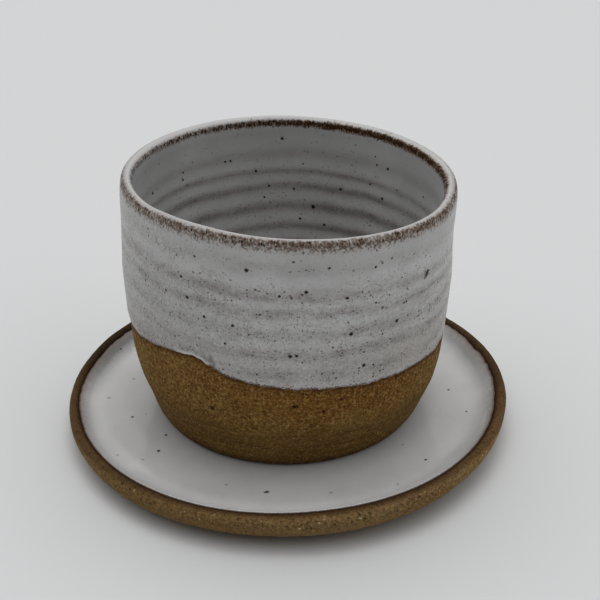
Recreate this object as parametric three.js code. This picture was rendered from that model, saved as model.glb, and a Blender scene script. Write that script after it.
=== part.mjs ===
// A hand-thrown stoneware cup without a handle, standing loose on its saucer.
// Millimetres, +Z up, origin on the table under the middle of the saucer.
// Angles run from the front (-Y) towards +X.
import * as THREE from "three";

// ---- driving dimensions -------------------------------------------------
const SEGMENTS = 48; // facets round the axis
const GLAZE = 0.45; // thickness of the glaze coat on walls and floors
const FOOT_GAP = 0.2; // the cup's foot stands this far above the saucer's glaze

// Heights below are measured from a level STAND above the table, where the
// saucer's underside begins; its foot ring reaches down to the table.
const STAND = 1.5;

// Saucer
const WELL_Z = 5.5; // top of the glaze in the well, where the cup stands
const SAUCER_R = 64.0; // outermost radius of the rim
const SAUCER_GLAZE_R = 60.75; // radius of the glaze edge inside the bare rim
const SAUCER_GLAZE_Z = 7.95; // its height
const SAUCER_TILT = 0.014; // the fired rim rises towards +X, mm per mm
const SAUCER_OVAL = 0.005; // out of round, part of the radius
const SAUCER_LONG = 0.004; // longer from front to back, part of the radius
// How far the saucer's edge stands out from that shape, by angle.
const SAUCER_EDGE = [
  [-180, 0.3],
  [-150, 0.4],
  [-130, 0.85],
  [-118, 0.95],
  [-110, 0.6],
  [-102, 0.38],
  [-90, 0.22],
  [-85, 0.08],
  [-75, -0.12],
  [-65, -0.2],
  [-50, -0.22],
  [-37, 0.05],
  [-20, 0],
  [-7, 0],
  [0, 0.15],
  [7, 0.32],
  [22, 0.6],
  [37, 0.5],
  [50, 0],
  [65, -0.05],
  [75, 0.05],
  [85, 0.42],
  [90, 0.56],
  [102, 0.82],
  [110, 0.75],
  [118, 0.7],
  [130, 0.65],
  [150, 0.4],
  [180, 0.3],
];

// Cup
const CUP_BASE_Z = WELL_Z + FOOT_GAP;
const RIM_R = 45; // outer radius of the lip
const RIM_TOP_Z = 75.4; // level of the lip's crest
const RIM_TILT = -0.018; // the lip falls towards +X, mm per mm
const RIM_OVAL = -0.0209; // out of round, part of the radius
// The wall's centre wanders sideways on the way up, [height, mm towards +X].
const SWAY = [
  [5.7, 0],
  [11, 0.3],
  [17, 0.5],
  [26, 0.25],
  [36, 0],
  [50, 0],
  [62, 0.1],
  [68, 0.25],
  [72, 0.45],
  [75.4, 0.6],
];

// The lip isn't level all round, nor equally thick on its inner side, [degrees
// from the front, mm].
const LIP_WAVE = [
  [-180, 0],
  [-150, -0.2],
  [-120, -0.6],
  [-100, -0.5],
  [-80, -0.3],
  [-60, -0.2],
  [-45, 0.4],
  [-30, 0.65],
  [-15, 0.45],
  [0, 0.2],
  [20, -0.1],
  [50, -0.7],
  [60, -0.8],
  [70, -0.45],
  [80, 0],
  [180, 0],
];
const LIP_THICK = [
  [-180, 0.3],
  [-100, 0.4],
  [-85, 0.1],
  [-70, 0],
  [70, 0],
  [85, 0.4],
  [100, 0.6],
  [140, 0.4],
  [180, 0.3],
];

// Outside of the clay, [height, radius], from the foot's bevel to under the lip.
const CLAY_OUTSIDE = [
  [6.05, 37.35],
  [7.3, 38.2],
  [9.2, 39.15],
  [11.5, 39.95],
  [14.7, 41.05],
  [18.3, 42.4],
  [23, 43.5],
  [28.5, 44.25],
  [35, 44.5],
  [42, 44.87],
  [49.5, 45.14],
  [57, 44.85],
  [63, 44.7],
  [67.8, 44.8],
  [71.4, 44.78],
];
// Heights of the rings on the outside, below and above the glaze line.
const BARE_RINGS = [6.05, 8.2, 11.5, 16.5, 22, 28.5];
const GLAZED_RINGS = [45, 53, 62, 69.5];
// Height of the glaze line round the cup, [degrees from the front, height].
const GLAZE_LINE = [
  [-180, 32.6],
  [-140, 33.4],
  [-100, 34.4],
  [-64, 36.0],
  [-50, 37.9],
  [-40, 39.2],
  [-33, 40.0],
  [-30, 39.65],
  [-27, 38.4],
  [-24, 37.65],
  [-20, 36.45],
  [-10, 35.15],
  [0, 34.4],
  [15, 33.6],
  [28, 33.0],
  [40, 32.7],
  [55, 32.0],
  [66, 31.1],
  [100, 30.6],
  [140, 31.5],
  [180, 32.6],
];
// Lip and inside of the clay, [radius, height], from the lip's outer shoulder
// over the crest and down to the middle of the floor.
const CLAY_LIP = [
  [44.6, 73.3],
  [44.0, 74.75],
  [43.4, 75.05],
  [42.8, 74.75],
  [42.25, 73.3],
];
const CLAY_INSIDE = [
  [41.75, 69],
  [41.3, 60],
  [40.95, 47],
  [40.2, 34.5],
  [38.3, 24.8],
  [34.6, 17.6],
  [28.5, 13.3],
  [20, 11.4],
  [0, 10.85],
];
// Underside of the cup: a shallow hollow inside a broad foot, [radius, height].
const CUP_UNDERSIDE = [
  [0, CUP_BASE_Z + 1.25],
  [27, CUP_BASE_Z + 1.05],
  [28.8, CUP_BASE_Z],
  [36.75, CUP_BASE_Z],
];
// Underside, edge and bare rim of the saucer, [radius, height].
const SAUCER_OUTSIDE = [
  [0, 1.15],
  [41.6, 1.0],
  [43.2, -1.1],
  [44, -STAND],
  [51.6, -STAND],
  [52.4, -1.1],
  [53.6, 0.5],
  [60.7, 1.8],
  [62.5, 2.5],
  [63.6, 3.9],
  [SAUCER_R, 5.4],
  [63.8, 6.9],
  [63.2, 7.85],
  [61.9, 8.2],
];
// Clay under the saucer's glaze, from the glaze edge to the middle.
const SAUCER_WELL = [
  [SAUCER_GLAZE_R, SAUCER_GLAZE_Z],
  [59.3, 6.8],
  [57.6, 5.74],
  [55.6, 5.17],
  [51, WELL_Z - GLAZE],
  [0, WELL_Z - GLAZE],
];
// Upper face of the saucer's glaze, from just inside its edge to the middle.
const SAUCER_GLAZE_TOP = [
  [60.48, 8.1],
  [59.3, 7.4],
  [57.7, 6.26],
  [56.0, 5.66],
  [51, WELL_Z],
  [0, WELL_Z],
];

// ---- helpers ------------------------------------------------------------
const smooth = (a, b, v) => {
  const t = Math.min(1, Math.max(0, (v - a) / (b - a)));
  return t * t * (3 - 2 * t);
};

// Straight-line reading of a table of [key, value] pairs.
function read(table, key) {
  let i = 0;
  while (i < table.length - 2 && key > table[i + 1][0]) i++;
  const [a, b] = [table[i], table[i + 1]];
  return a[1] + ((key - a[0]) / (b[0] - a[0])) * (b[1] - a[1]);
}

// Where a point of the round, level cup ends up after drying and firing.
function firedCup(r, z, phi) {
  const w = smooth(14, 74, z);
  const thick = read(LIP_THICK, degrees(phi)) * smooth(43.4, 41.8, r) * smooth(64, 73, z);
  const q = (r - thick) * (1 - w * RIM_OVAL * Math.sin(2 * phi));
  const x = q * Math.sin(phi);
  const level = z + w * RIM_TILT * x + smooth(58, 74, z) * read(LIP_WAVE, degrees(phi));
  return [x + read(SWAY, z), -q * Math.cos(phi), level + STAND];
}

// The same for the saucer, whose foot and well stay flat.
function firedSaucer(r, z, phi) {
  const w = smooth(53, 60, r);
  const oval = SAUCER_OVAL * Math.sin(2 * phi) - SAUCER_LONG * Math.cos(2 * phi);
  const out = smooth(58, 63.5, r) * read(SAUCER_EDGE, degrees(phi));
  const q = r * (1 - w * oval) + out;
  const x = q * Math.sin(phi);
  return [x, -q * Math.cos(phi), z + w * SAUCER_TILT * x + STAND];
}

// A turned solid. Each row is [radius, height], or a function of the angle
// that gives them; the rows run from the axis round the section and back to
// the axis. Rows before `shared` lie against another piece, and their facets
// are split the same way as that piece's.
function turned(rows, fired, shared = 0) {
  const at = (row, phi) => (typeof row === "function" ? row(phi) : row);
  const geometry = new THREE.LatheGeometry(
    rows.map((row) => new THREE.Vector2(...at(row, 0))),
    SEGMENTS,
  );
  geometry.deleteAttribute("normal");
  geometry.deleteAttribute("uv");
  const n = rows.length;
  const place = geometry.getAttribute("position");
  for (let i = 0; i <= SEGMENTS; i++) {
    const phi = ((i % SEGMENTS) / SEGMENTS) * 2 * Math.PI;
    rows.forEach((row, j) => {
      const [r, z] = at(row, phi);
      const [x, y, h] = r === 0 ? [0, 0, z + STAND] : fired(r, z, phi);
      place.setXYZ(i * n + j, x, y, h);
    });
  }
  const faces = [];
  for (let i = 0; i < SEGMENTS; i++)
    for (let j = 0; j < n - 1; j++) {
      const a = i * n + j,
        b = a + n,
        c = b + 1,
        d = a + 1;
      if (j === 0) faces.push(a, c, d);
      else if (j === n - 2) faces.push(a, b, d);
      else if (j < shared) faces.push(a, b, c, a, c, d);
      else faces.push(a, b, d, c, d, b);
    }
  geometry.setIndex(faces);
  geometry.computeVertexNormals();
  return geometry;
}

const degrees = (phi) => {
  const d = (phi * 180) / Math.PI;
  return d > 180 ? d - 360 : d;
};
const lineZ = (phi) => read(GLAZE_LINE, degrees(phi));
const clayR = (z) => read(CLAY_OUTSIDE, z);

// ---- cup ----------------------------------------------------------------
// The face that the cup's clay and glaze share, from the glaze line up the
// outside, over the lip and down the inside to the middle of the floor.
const cupShared = [
  (phi) => [clayR(lineZ(phi)), lineZ(phi)],
  ...GLAZED_RINGS.map((z) => [clayR(z), z]),
  ...CLAY_LIP,
  ...CLAY_INSIDE,
];
const cupBodyRows = [
  ...CUP_UNDERSIDE,
  ...BARE_RINGS.map((z) => [clayR(z), z]),
  ...cupShared,
];

// The coat's free face: a rounded edge at the glaze line, the outside, the
// lip, where it runs thin, and the inside.
const lip = [
  [RIM_R, 73.4],
  [44.25, 75.02],
  [43.4, RIM_TOP_Z],
  [42.55, 75.02],
  [41.82, 73.4],
];
const inside = CLAY_INSIDE.map(([r, z], i) => {
  if (r === 0) return [0, z + GLAZE];
  const [r0, z0] = i ? CLAY_INSIDE[i - 1] : CLAY_LIP[CLAY_LIP.length - 1];
  const [r1, z1] = CLAY_INSIDE[i + 1];
  const length = Math.hypot(r1 - r0, z1 - z0);
  return [
    r + (GLAZE * (z1 - z0)) / length,
    z - (GLAZE * (r1 - r0)) / length,
  ];
});
const cupGlazeRows = [
  ...[...cupShared].reverse(),
  (phi) => [clayR(lineZ(phi)) + 0.3, lineZ(phi) + 0.12],
  (phi) => [clayR(lineZ(phi) + 0.7) + GLAZE + 0.06, lineZ(phi) + 0.7],
  (phi) => [clayR(lineZ(phi) + 2.2) + GLAZE, lineZ(phi) + 2.2],
  ...GLAZED_RINGS.map((z) => [clayR(z) + GLAZE, z]),
  ...lip,
  ...inside,
];

// ---- saucer -------------------------------------------------------------
const saucerBodyRows = [...SAUCER_OUTSIDE, ...SAUCER_WELL];
const saucerGlazeRows = [...[...SAUCER_WELL].reverse(), ...SAUCER_GLAZE_TOP];

// ---- pieces -------------------------------------------------------------
function piece(name, geometry, color, roughness) {
  const mesh = new THREE.Mesh(
    geometry,
    new THREE.MeshStandardMaterial({ color, roughness, metalness: 0 }),
  );
  mesh.name = name;
  return mesh;
}

const STONEWARE = 0x6b4f30;
const WHITE_GLAZE = 0xc9c9c4;

const cup = new THREE.Group();
cup.add(
  piece("cup_body", turned(cupBodyRows, firedCup), STONEWARE, 0.8),
  piece(
    "cup_glaze",
    turned(cupGlazeRows, firedCup, cupShared.length - 1),
    WHITE_GLAZE,
    0.3,
  ),
);

const saucer = new THREE.Group();
saucer.add(
  piece("saucer_body", turned(saucerBodyRows, firedSaucer), STONEWARE, 0.8),
  piece(
    "saucer_glaze",
    turned(saucerGlazeRows, firedSaucer, SAUCER_WELL.length - 1),
    WHITE_GLAZE,
    0.25,
  ),
);

const object = new THREE.Group();
object.add(saucer, cup);

export default object;
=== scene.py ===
import math

import bpy
import numpy as np
from mathutils import Matrix, Vector


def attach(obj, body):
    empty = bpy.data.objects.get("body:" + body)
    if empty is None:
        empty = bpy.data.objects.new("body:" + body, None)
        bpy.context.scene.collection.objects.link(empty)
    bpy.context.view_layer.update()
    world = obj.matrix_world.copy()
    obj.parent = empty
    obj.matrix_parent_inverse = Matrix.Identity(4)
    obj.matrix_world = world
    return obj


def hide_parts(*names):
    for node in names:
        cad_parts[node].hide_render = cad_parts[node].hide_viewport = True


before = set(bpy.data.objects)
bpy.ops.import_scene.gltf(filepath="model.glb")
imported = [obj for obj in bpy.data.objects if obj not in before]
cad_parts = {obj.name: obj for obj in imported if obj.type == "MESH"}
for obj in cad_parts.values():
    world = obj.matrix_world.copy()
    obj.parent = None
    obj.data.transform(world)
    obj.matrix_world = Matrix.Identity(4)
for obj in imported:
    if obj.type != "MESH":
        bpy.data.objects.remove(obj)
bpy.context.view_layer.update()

# A thrown stoneware cup without a handle on its saucer. Shapes below are in
# millimetres, in the frame of the CAD model, and become metres in build().
# Angles run from the front (-Y) towards +X.

# ---------------------------------------------------------------- dimensions
GLAZE = 0.45
STAND = 1.5  # heights are measured from this level above the table
WELL_Z = 5.5
BASE_Z = 5.7
RIM_TILT, RIM_OVAL = -0.018, -0.0209
SAUCER_TILT, SAUCER_OVAL, SAUCER_LONG = 0.014, 0.005, 0.004
SWAY = [(5.7, 0), (11, 0.3), (17, 0.5), (26, 0.25), (36, 0), (50, 0), (62, 0.1), (68, 0.25), (72, 0.45), (75.4, 0.6)]
CLAY_OUTSIDE = [(6.05, 37.35), (7.3, 38.2), (9.2, 39.15), (11.5, 39.95), (14.7, 41.05), (18.3, 42.4), (23, 43.5), (28.5, 44.25),
                (35, 44.5), (42, 44.87), (49.5, 45.14), (57, 44.85), (63, 44.7), (67.8, 44.8), (71.4, 44.78)]
LIP_WAVE = [(-180, 0), (-150, -0.2), (-120, -0.6), (-100, -0.5), (-80, -0.3), (-60, -0.2), (-45, 0.38), (-30, 0.62), (-15, 0.43), (0, 0.2), (20, -0.1),
            (50, -0.7), (60, -0.8), (70, -0.45), (80, 0), (180, 0)]
LIP_THICK = [(-180, 0.3), (-100, 0.4), (-85, 0.1), (-70, 0), (70, 0), (85, 0.4), (100, 0.6), (140, 0.4), (180, 0.3)]
SAUCER_EDGE = [(-180, 0.3), (-150, 0.4), (-130, 0.85), (-118, 0.95), (-110, 0.6), (-102, 0.38), (-90, 0.22), (-85, 0.08), (-75, -0.12), (-65, -0.2),
               (-50, -0.22), (-37, 0.05), (-20, 0), (-7, 0), (0, 0.15), (7, 0.32), (22, 0.6), (37, 0.5), (50, 0), (65, -0.05), (75, 0.05),
               (85, 0.42), (90, 0.56), (102, 0.82), (110, 0.75), (118, 0.7), (130, 0.65), (150, 0.4), (180, 0.3)]
GLAZE_LINE = [(-180, 32.6), (-140, 33.4), (-100, 34.4), (-64, 36.0), (-50, 37.9), (-40, 39.2), (-33, 40.0), (-30, 39.65), (-27, 38.4), (-24, 37.65),
              (-20, 36.45), (-10, 35.15), (0, 34.4), (15, 33.6), (28, 33.0), (40, 32.7), (55, 32.0), (66, 31.1), (100, 30.6), (140, 31.5), (180, 32.6)]


# ------------------------------------------------------------------- helpers
def smooth(a, b, v):
    t = np.clip((np.asarray(v, float) - a) / (b - a), 0, 1)
    return t * t * (3 - 2 * t)


def pchip(table):
    """A smooth curve through a table of (key, value) that never overshoots."""
    x, y = np.array(table, float).T
    h = np.diff(x)
    d = np.diff(y) / h
    m = np.zeros_like(y)
    m[0], m[-1] = d[0], d[-1]
    for i in range(1, len(x) - 1):
        if d[i - 1] * d[i] > 0:
            w1, w2 = 2 * h[i] + h[i - 1], h[i] + 2 * h[i - 1]
            m[i] = (w1 + w2) / (w1 / d[i - 1] + w2 / d[i])

    def f(v):
        v = np.asarray(v, float)
        k = np.clip(np.searchsorted(x, v) - 1, 0, len(x) - 2)
        t = np.clip((v - x[k]) / h[k], 0, 1)
        return (y[k] * (1 + 2 * t) * (1 - t) ** 2 + m[k] * h[k] * t * (1 - t) ** 2
                + y[k + 1] * t * t * (3 - 2 * t) + m[k + 1] * h[k] * t * t * (t - 1))

    return f


def lattice(ix, iy, iz, seed):
    """A repeatable number from 0 to 1 for each point of a grid."""
    n = (ix.astype(np.int64) * 73856093) ^ (iy.astype(np.int64) * 19349663) ^ (iz.astype(np.int64) * 83492791) ^ (seed * 2654435761)
    n &= 0xFFFFFFFF
    n = ((n >> 16) ^ n) * 0x45D9F3B & 0xFFFFFFFF
    n = ((n >> 16) ^ n) * 0x45D9F3B & 0xFFFFFFFF
    n = (n >> 16) ^ n
    return n / 0xFFFFFFFF


def noise(p, size, seed=1):
    """Smooth noise from -1 to 1 with bumps of about that size, in mm."""
    q = np.asarray(p, float) / size
    i = np.floor(q)
    t = q - i
    t = t * t * t * (t * (t * 6 - 15) + 10)
    out = 0.0
    for dx in (0, 1):
        for dy in (0, 1):
            for dz in (0, 1):
                w = np.abs(1 - dx - t[..., 0]) * np.abs(1 - dy - t[..., 1]) * np.abs(1 - dz - t[..., 2])
                out = out + w * lattice(i[..., 0] + dx, i[..., 1] + dy, i[..., 2] + dz, seed)
    return out * 2 - 1


def polyline(points, step=0.1, soft=0.3):
    """A dense path through corner points, with its corners rounded."""
    p = np.array(points, float)
    s = np.concatenate([[0], np.cumsum(np.hypot(*np.diff(p, axis=0).T))])
    n = max(8, int(s[-1] / step))
    t = np.linspace(0, s[-1], n)
    q = np.stack([np.interp(t, s, p[:, 0]), np.interp(t, s, p[:, 1])], 1)
    if soft:
        k = max(1, int(soft * 3 / (s[-1] / n)))
        g = np.exp(-0.5 * (np.arange(-k, k + 1) / max(1e-6, soft / (s[-1] / n))) ** 2)
        g /= g.sum()
        e = np.concatenate([2 * q[0] - q[k:0:-1], q, 2 * q[-1] - q[-2:-k - 2:-1]])
        q = np.stack([np.convolve(e[:, c], g, "valid") for c in (0, 1)], 1)
    return q


def curve(points, step=0.1):
    """A dense smooth path through points, as a rounded spline."""
    p = np.array(points, float)
    s = np.concatenate([[0], np.cumsum(np.hypot(*np.diff(p, axis=0).T) ** 0.7)])
    m = np.zeros_like(p)
    m[1:-1] = ((p[1:-1] - p[:-2]) / (s[1:-1] - s[:-2])[:, None] * (s[2:] - s[1:-1])[:, None]
               + (p[2:] - p[1:-1]) / (s[2:] - s[1:-1])[:, None] * (s[1:-1] - s[:-2])[:, None]) / (s[2:] - s[:-2])[:, None]
    m[0], m[-1] = 1.5 * (p[1] - p[0]) / (s[1] - s[0]) - 0.5 * m[1], 1.5 * (p[-1] - p[-2]) / (s[-1] - s[-2]) - 0.5 * m[-2]
    out = []
    for i in range(len(p) - 1):
        h = s[i + 1] - s[i]
        n = max(3, int(np.hypot(*(p[i + 1] - p[i])) / step))
        t = np.linspace(0, 1, n, endpoint=i == len(p) - 2)[:, None]
        out.append(p[i] * (1 + 2 * t) * (1 - t) ** 2 + m[i] * h * t * (1 - t) ** 2 + p[i + 1] * t * t * (3 - 2 * t) + m[i + 1] * h * t * t * (t - 1))
    return np.concatenate(out)


def resample(path, spacing):
    """Points along a path, spacing(arc, radius, height) mm apart."""
    s = np.concatenate([[0], np.cumsum(np.hypot(*np.diff(path, axis=0).T))])
    density = 1.0 / np.array([spacing(a, *q) for a, q in zip(s, path)])
    c = np.concatenate([[0], np.cumsum(0.5 * (density[1:] + density[:-1]) * np.diff(s))])
    n = max(2, int(math.ceil(c[-1])) + 1)
    t = np.interp(np.linspace(0, c[-1], n), c, s)
    return np.stack([np.interp(t, s, path[:, 0]), np.interp(t, s, path[:, 1])], 1)


def normals2d(rz):
    """Outward normals of a section that runs bottom, outside, top, inside."""
    t = np.gradient(rz, axis=0)
    n = np.stack([t[..., 1], -t[..., 0]], -1)
    return n / np.maximum(np.linalg.norm(n, axis=-1, keepdims=True), 1e-9)


sway = pchip(SWAY)
lip_wave, lip_thick = pchip(LIP_WAVE), pchip(LIP_THICK)
clay_r = pchip(CLAY_OUTSIDE)
line_z = pchip([(a - 360, z) for a, z in GLAZE_LINE[-4:-1]] + GLAZE_LINE + [(a + 360, z) for a, z in GLAZE_LINE[1:4]])


def degrees(phi):
    d = np.degrees(phi)
    return np.where(d > 180, d - 360, d)


def glaze_edge(phi):
    """Height of the glaze's lower edge, with the small teeth of the grain."""
    ring = np.stack([44.6 * np.sin(phi), -44.6 * np.cos(phi), 0 * phi], -1)
    return line_z(degrees(phi)) + 0.17 * noise(ring, 2.3, 41) + 0.20 * noise(ring, 1.15, 42)


def fired_cup(r, z, phi):
    w = smooth(14, 74, z)
    thick = lip_thick(degrees(phi)) * smooth(43.4, 41.8, r) * smooth(64, 73, z)
    q = (r - thick) * (1 - w * RIM_OVAL * np.sin(2 * phi))
    x = q * np.sin(phi)
    level = z + w * RIM_TILT * x + smooth(58, 74, z) * lip_wave(degrees(phi))
    return np.stack([x + sway(z), -q * np.cos(phi), level + STAND], -1)


saucer_edge = pchip(SAUCER_EDGE)


def fired_saucer(r, z, phi):
    w = smooth(53, 60, r)
    q = r * (1 - w * (SAUCER_OVAL * np.sin(2 * phi) - SAUCER_LONG * np.cos(2 * phi)))
    q = q + smooth(58, 63.5, r) * (saucer_edge(degrees(phi)) - 0.03)
    x = q * np.sin(phi)
    return np.stack([x, -q * np.cos(phi), z + w * SAUCER_TILT * x + STAND], -1)


def build(name, points, bands, values):
    """A closed turned mesh. points is (rows, columns, 3) in mm; the first and
    last rows lie on the axis. bands lays the rows out on the bake map:
    (first row, last row, kind, place and size on the map, pieces)."""
    rows, cols = points.shape[:2]
    inner = rows - 2
    verts = np.concatenate([points[0, :1], points[1:-1].reshape(-1, 3), points[-1, :1]]) * 0.001
    last = len(verts) - 1
    i = np.arange(cols)
    k = (i + 1) % cols
    tri0 = np.stack([np.zeros(cols, int), 1 + k, 1 + i], 1)
    base = 1 + np.arange(inner - 1)[:, None] * cols
    quads = np.stack([base + i, base + k, base + cols + k, base + cols + i], -1).reshape(-1, 4)
    top = 1 + (inner - 1) * cols
    tri1 = np.stack([top + i, top + k, np.full(cols, last)], 1)
    mesh = bpy.data.meshes.new(name)
    mesh.from_pydata(verts.tolist(), [], tri0.tolist() + quads.tolist() + tri1.tolist())
    mesh.polygons.foreach_set("use_smooth", np.ones(len(mesh.polygons), bool))
    # place of each face corner on the bake map
    arc = np.concatenate([[0], np.cumsum(np.linalg.norm(np.diff(points.mean(1) * 0 + np.stack([np.hypot(points[..., 0], points[..., 1]).mean(1), points[..., 2].mean(1), 0 * points[:, 0, 0]], 1), axis=0), axis=1))])
    rad = np.hypot(points[..., 0], points[..., 1]).mean(1)
    u = np.zeros((rows - 1, cols, 4))
    v = np.zeros((rows - 1, cols, 4))
    for j0, j1, kind, place, pieces in bands:
        x0, y0, wide, high = place
        for j in range(j0, j1):
            for c, (dj, di) in enumerate(((0, 0), (0, 1), (1, 1), (1, 0))):
                if kind == "disc":
                    a = 2 * np.pi * (i + di) / cols
                    q = rad[j + dj] / max(rad[j0:j1 + 1]) * 0.5
                    u[j, :, c] = x0 + wide * (0.5 + q * np.sin(a))
                    v[j, :, c] = y0 + high * (0.5 - q * np.cos(a))
                else:
                    part = cols // pieces
                    seg = np.minimum(i // part, pieces - 1)
                    each = high / pieces
                    u[j, :, c] = x0 + wide * (i - seg * part + di) / (cols - (pieces - 1) * part if pieces == 1 else part)
                    v[j, :, c] = y0 + each * seg + (each * 0.96) * (arc[j + dj] - arc[j0]) / (arc[j1] - arc[j0])
    uv = np.concatenate([
        np.stack([u[0][:, [0, 2, 3]], v[0][:, [0, 2, 3]]], -1).reshape(-1, 2),
        np.stack([u[1:-1], v[1:-1]], -1).reshape(-1, 2),
        np.stack([u[-1][:, [0, 1, 3]], v[-1][:, [0, 1, 3]]], -1).reshape(-1, 2)])
    layer = mesh.uv_layers.new(name="OFBake")
    layer.data.foreach_set("uv", uv.astype(np.float32).ravel())
    for key, value in values.items():
        flat = np.concatenate([value[0, :1], value[1:-1].ravel(), value[-1, :1]])
        mesh.attributes.new(key, "FLOAT", "POINT").data.foreach_set("value", flat.astype(np.float32))
    mesh.update()
    mesh.validate()
    obj = bpy.data.objects.new(name, mesh)
    bpy.context.scene.collection.objects.link(obj)
    return obj


# ------------------------------------------------- throwing rings of the cup
# Heights of the finger ridges at the front; the ridge climbs one step a turn.
OUT_RIDGES = [8, 14, 20, 26, 32, 38.5, 44.7, 50.3, 56.2, 60.8, 68.7, 73.6, 79]
IN_RIDGES = [2, 8, 14, 20, 26.5, 32.8, 37.6, 43.6, 50.6, 56.5, 61.2, 68.5, 75]
out_phase = pchip([(z, k) for k, z in enumerate(OUT_RIDGES)])
in_phase = pchip([(z, k) for k, z in enumerate(IN_RIDGES)])
out_strength = pchip([(30, 0.5), (38.5, 0.8), (44.7, 1.0), (50.3, 0.85), (56.2, 0.9), (60.8, 1.0), (65, 0.5), (68.7, 0.4), (74, 0.1)])
in_strength = pchip([(8, 0.9), (32, 1.0), (44, 1.0), (57, 0.8), (62, 0.45), (70, 0.15), (75, 0)])


def ridge(phase, phi, wobble):
    p = phase + phi / (2 * np.pi) + wobble
    return (0.5 + 0.5 * np.cos(2 * np.pi * p)) ** 1.15


# ----------------------------------------------------------------- cup, clay
def cup_columns(n):
    return np.arange(n) / n * 2 * np.pi


def grid(rz, phi):
    """Section points (rows, 2) spread over the columns."""
    return np.repeat(rz[:, None, :], len(phi), 1)


INSIDE_CLAY = curve([(42.25, 73.3), (41.75, 69), (41.3, 60), (40.95, 47), (40.2, 34.5), (38.3, 24.8), (34.6, 17.6), (28.5, 13.3), (20, 11.4), (9, 10.9), (0, 10.85)])
INSIDE_GLAZE = curve([(41.8, 73.3), (41.32, 69), (40.86, 60), (40.5, 47), (39.76, 34.55), (37.88, 24.98), (34.26, 17.87), (28.24, 13.68), (19.9, 11.84), (9, 11.36), (0, 11.3)])

# the clay: underside, foot, bare wall up to the glaze line, then the faces under the glaze
phi = cup_columns(704)
deg = degrees(phi)
zl = glaze_edge(phi)
under = resample(np.concatenate([polyline([(0, BASE_Z + 1.25), (27, BASE_Z + 1.05), (28.5, BASE_Z + 0.3), (28.9, BASE_Z), (36.6, BASE_Z)], soft=0.25),
                                 polyline([(36.65, BASE_Z), (36.95, 5.74), (37.2, 5.9)], soft=0.05)]),
                 lambda a, r, z: 3.5 if r < 25 else 0.45)
t = np.linspace(0, 1, 80)[:, None]
wall_z = 6.05 + (zl - 6.05) * t
wall = np.stack([clay_r(wall_z), wall_z], -1)
up = np.array([0.1, 0.6, 1.0])[:, None]
cover_z = zl + 0.5 + (71.4 - zl - 0.5) * up
cover = np.stack([clay_r(cover_z) - 0.15, cover_z], -1)
lip_clay = np.array([(44.4, 73.2), (43.9, 74.6), (43.4, 74.9), (42.9, 74.6), (42.45, 73.2)])
inner_clay = resample(INSIDE_CLAY[30:], lambda a, r, z: 5.0 if z < 36 and r > 18 else 12.0) + np.array([0.12, -0.1])
inner_clay[-1, 0] = 0
rz = np.concatenate([grid(under, phi), wall, cover, grid(lip_clay, phi), grid(inner_clay, phi)])
n_under, n_wall = len(under), len(wall)
P = fired_cup(rz[..., 0], rz[..., 1], phi[None])
# grain, soft lumps and turning lines on the bare clay, dying out at the glaze line
row = np.arange(len(rz))[:, None]
below = np.where(row < n_under + n_wall, zl[None] - rz[..., 1], 0)
fade = smooth(0.1, 1.0, below)
fade[:1] = 0
nrm = normals2d(rz)
z = rz[..., 1]
trimmed = smooth(22.5, 18.5, z + 1.2 * noise(P, 12, 7))
height = (0.045 * noise(P, 1.0, 3) + 0.035 * noise(P, 2.4, 4)) * (1 - 0.55 * trimmed) + 0.05 * noise(P, 9.0, 5)
turned = P * np.array([0.12, 0.12, 1.0])
lines = 0.030 * noise(turned, 0.9, 6) + 0.035 * noise(turned, 2.1, 8)
for at, deep in ((21.4, 0.05), (17.2, 0.035), (13.1, 0.045), (10.0, 0.03)):
    lines = lines - deep * np.exp(-((z - at - 0.35 * noise(P, 30, 9)) / 0.45) ** 2)
height = height + np.where(row >= n_under, lines * smooth(25, 20, z), 0.015 * np.sin(2 * np.pi * rz[..., 0] / 1.6 + phi[None]))
height = height * fade
height = np.where(row < n_under, np.minimum(height, 0.0) * 0.8, height)
Q = fired_cup(rz[..., 0] + nrm[..., 0] * height, z + nrm[..., 1] * height, phi[None])
Q[0], Q[-1] = Q[0].mean(0), Q[-1].mean(0)
# rust-coloured flashing under the glaze, strongest at the front
flash = np.exp(-((deg[None] - 9) / 30.0) ** 2) * smooth(15, 3, below) + 0.5 * smooth(0.1, 0.7, noise(P, 26, 10)) * smooth(9, 1, below) * smooth(60, 110, np.abs(deg[None]))
S = 152.0
cup_body = build("cup_body_clay", Q,
                 [(0, n_under - 1, "disc", (1 / S, 78 / S, 73 / S, 73 / S), 1),
                  (n_under - 1, n_under + n_wall - 1, "strip", (1 / S, 0.6 / S, 147 / S, 76.5 / S), 2),
                  (n_under + n_wall - 1, len(rz) - 1, "strip", (80 / S, 80 / S, 70 / S, 70 / S), 1)],
                 {"below": below, "flash": flash, "trimmed": np.where(row < n_under, 0.6, trimmed)})

# ---------------------------------------------------------------- cup, glaze
phi = cup_columns(480)
deg = degrees(phi)
zl = glaze_edge(phi)
wall_r = pchip([(z, r + GLAZE) for z, r in CLAY_OUTSIDE[:-2]] + [(67.8, 45.25), (70.5, 45.26), (72.2, 45.18), (73.4, 45.0)])
# faces on the clay, coarse, from the floor's middle to the glaze line
back_in = resample(INSIDE_CLAY[::-1], lambda a, r, z: 6.0 if z < 36 and r > 18 else 14.0)
back_lip = np.array([(42.8, 74.75), (43.4, 75.05), (44.0, 74.75), (44.6, 73.3)])
back_z = zl + (71.4 - zl) * np.array([1.0, 0.5, 0.0])[:, None]
back_wall = np.stack([clay_r(back_z), back_z], -1)
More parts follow.
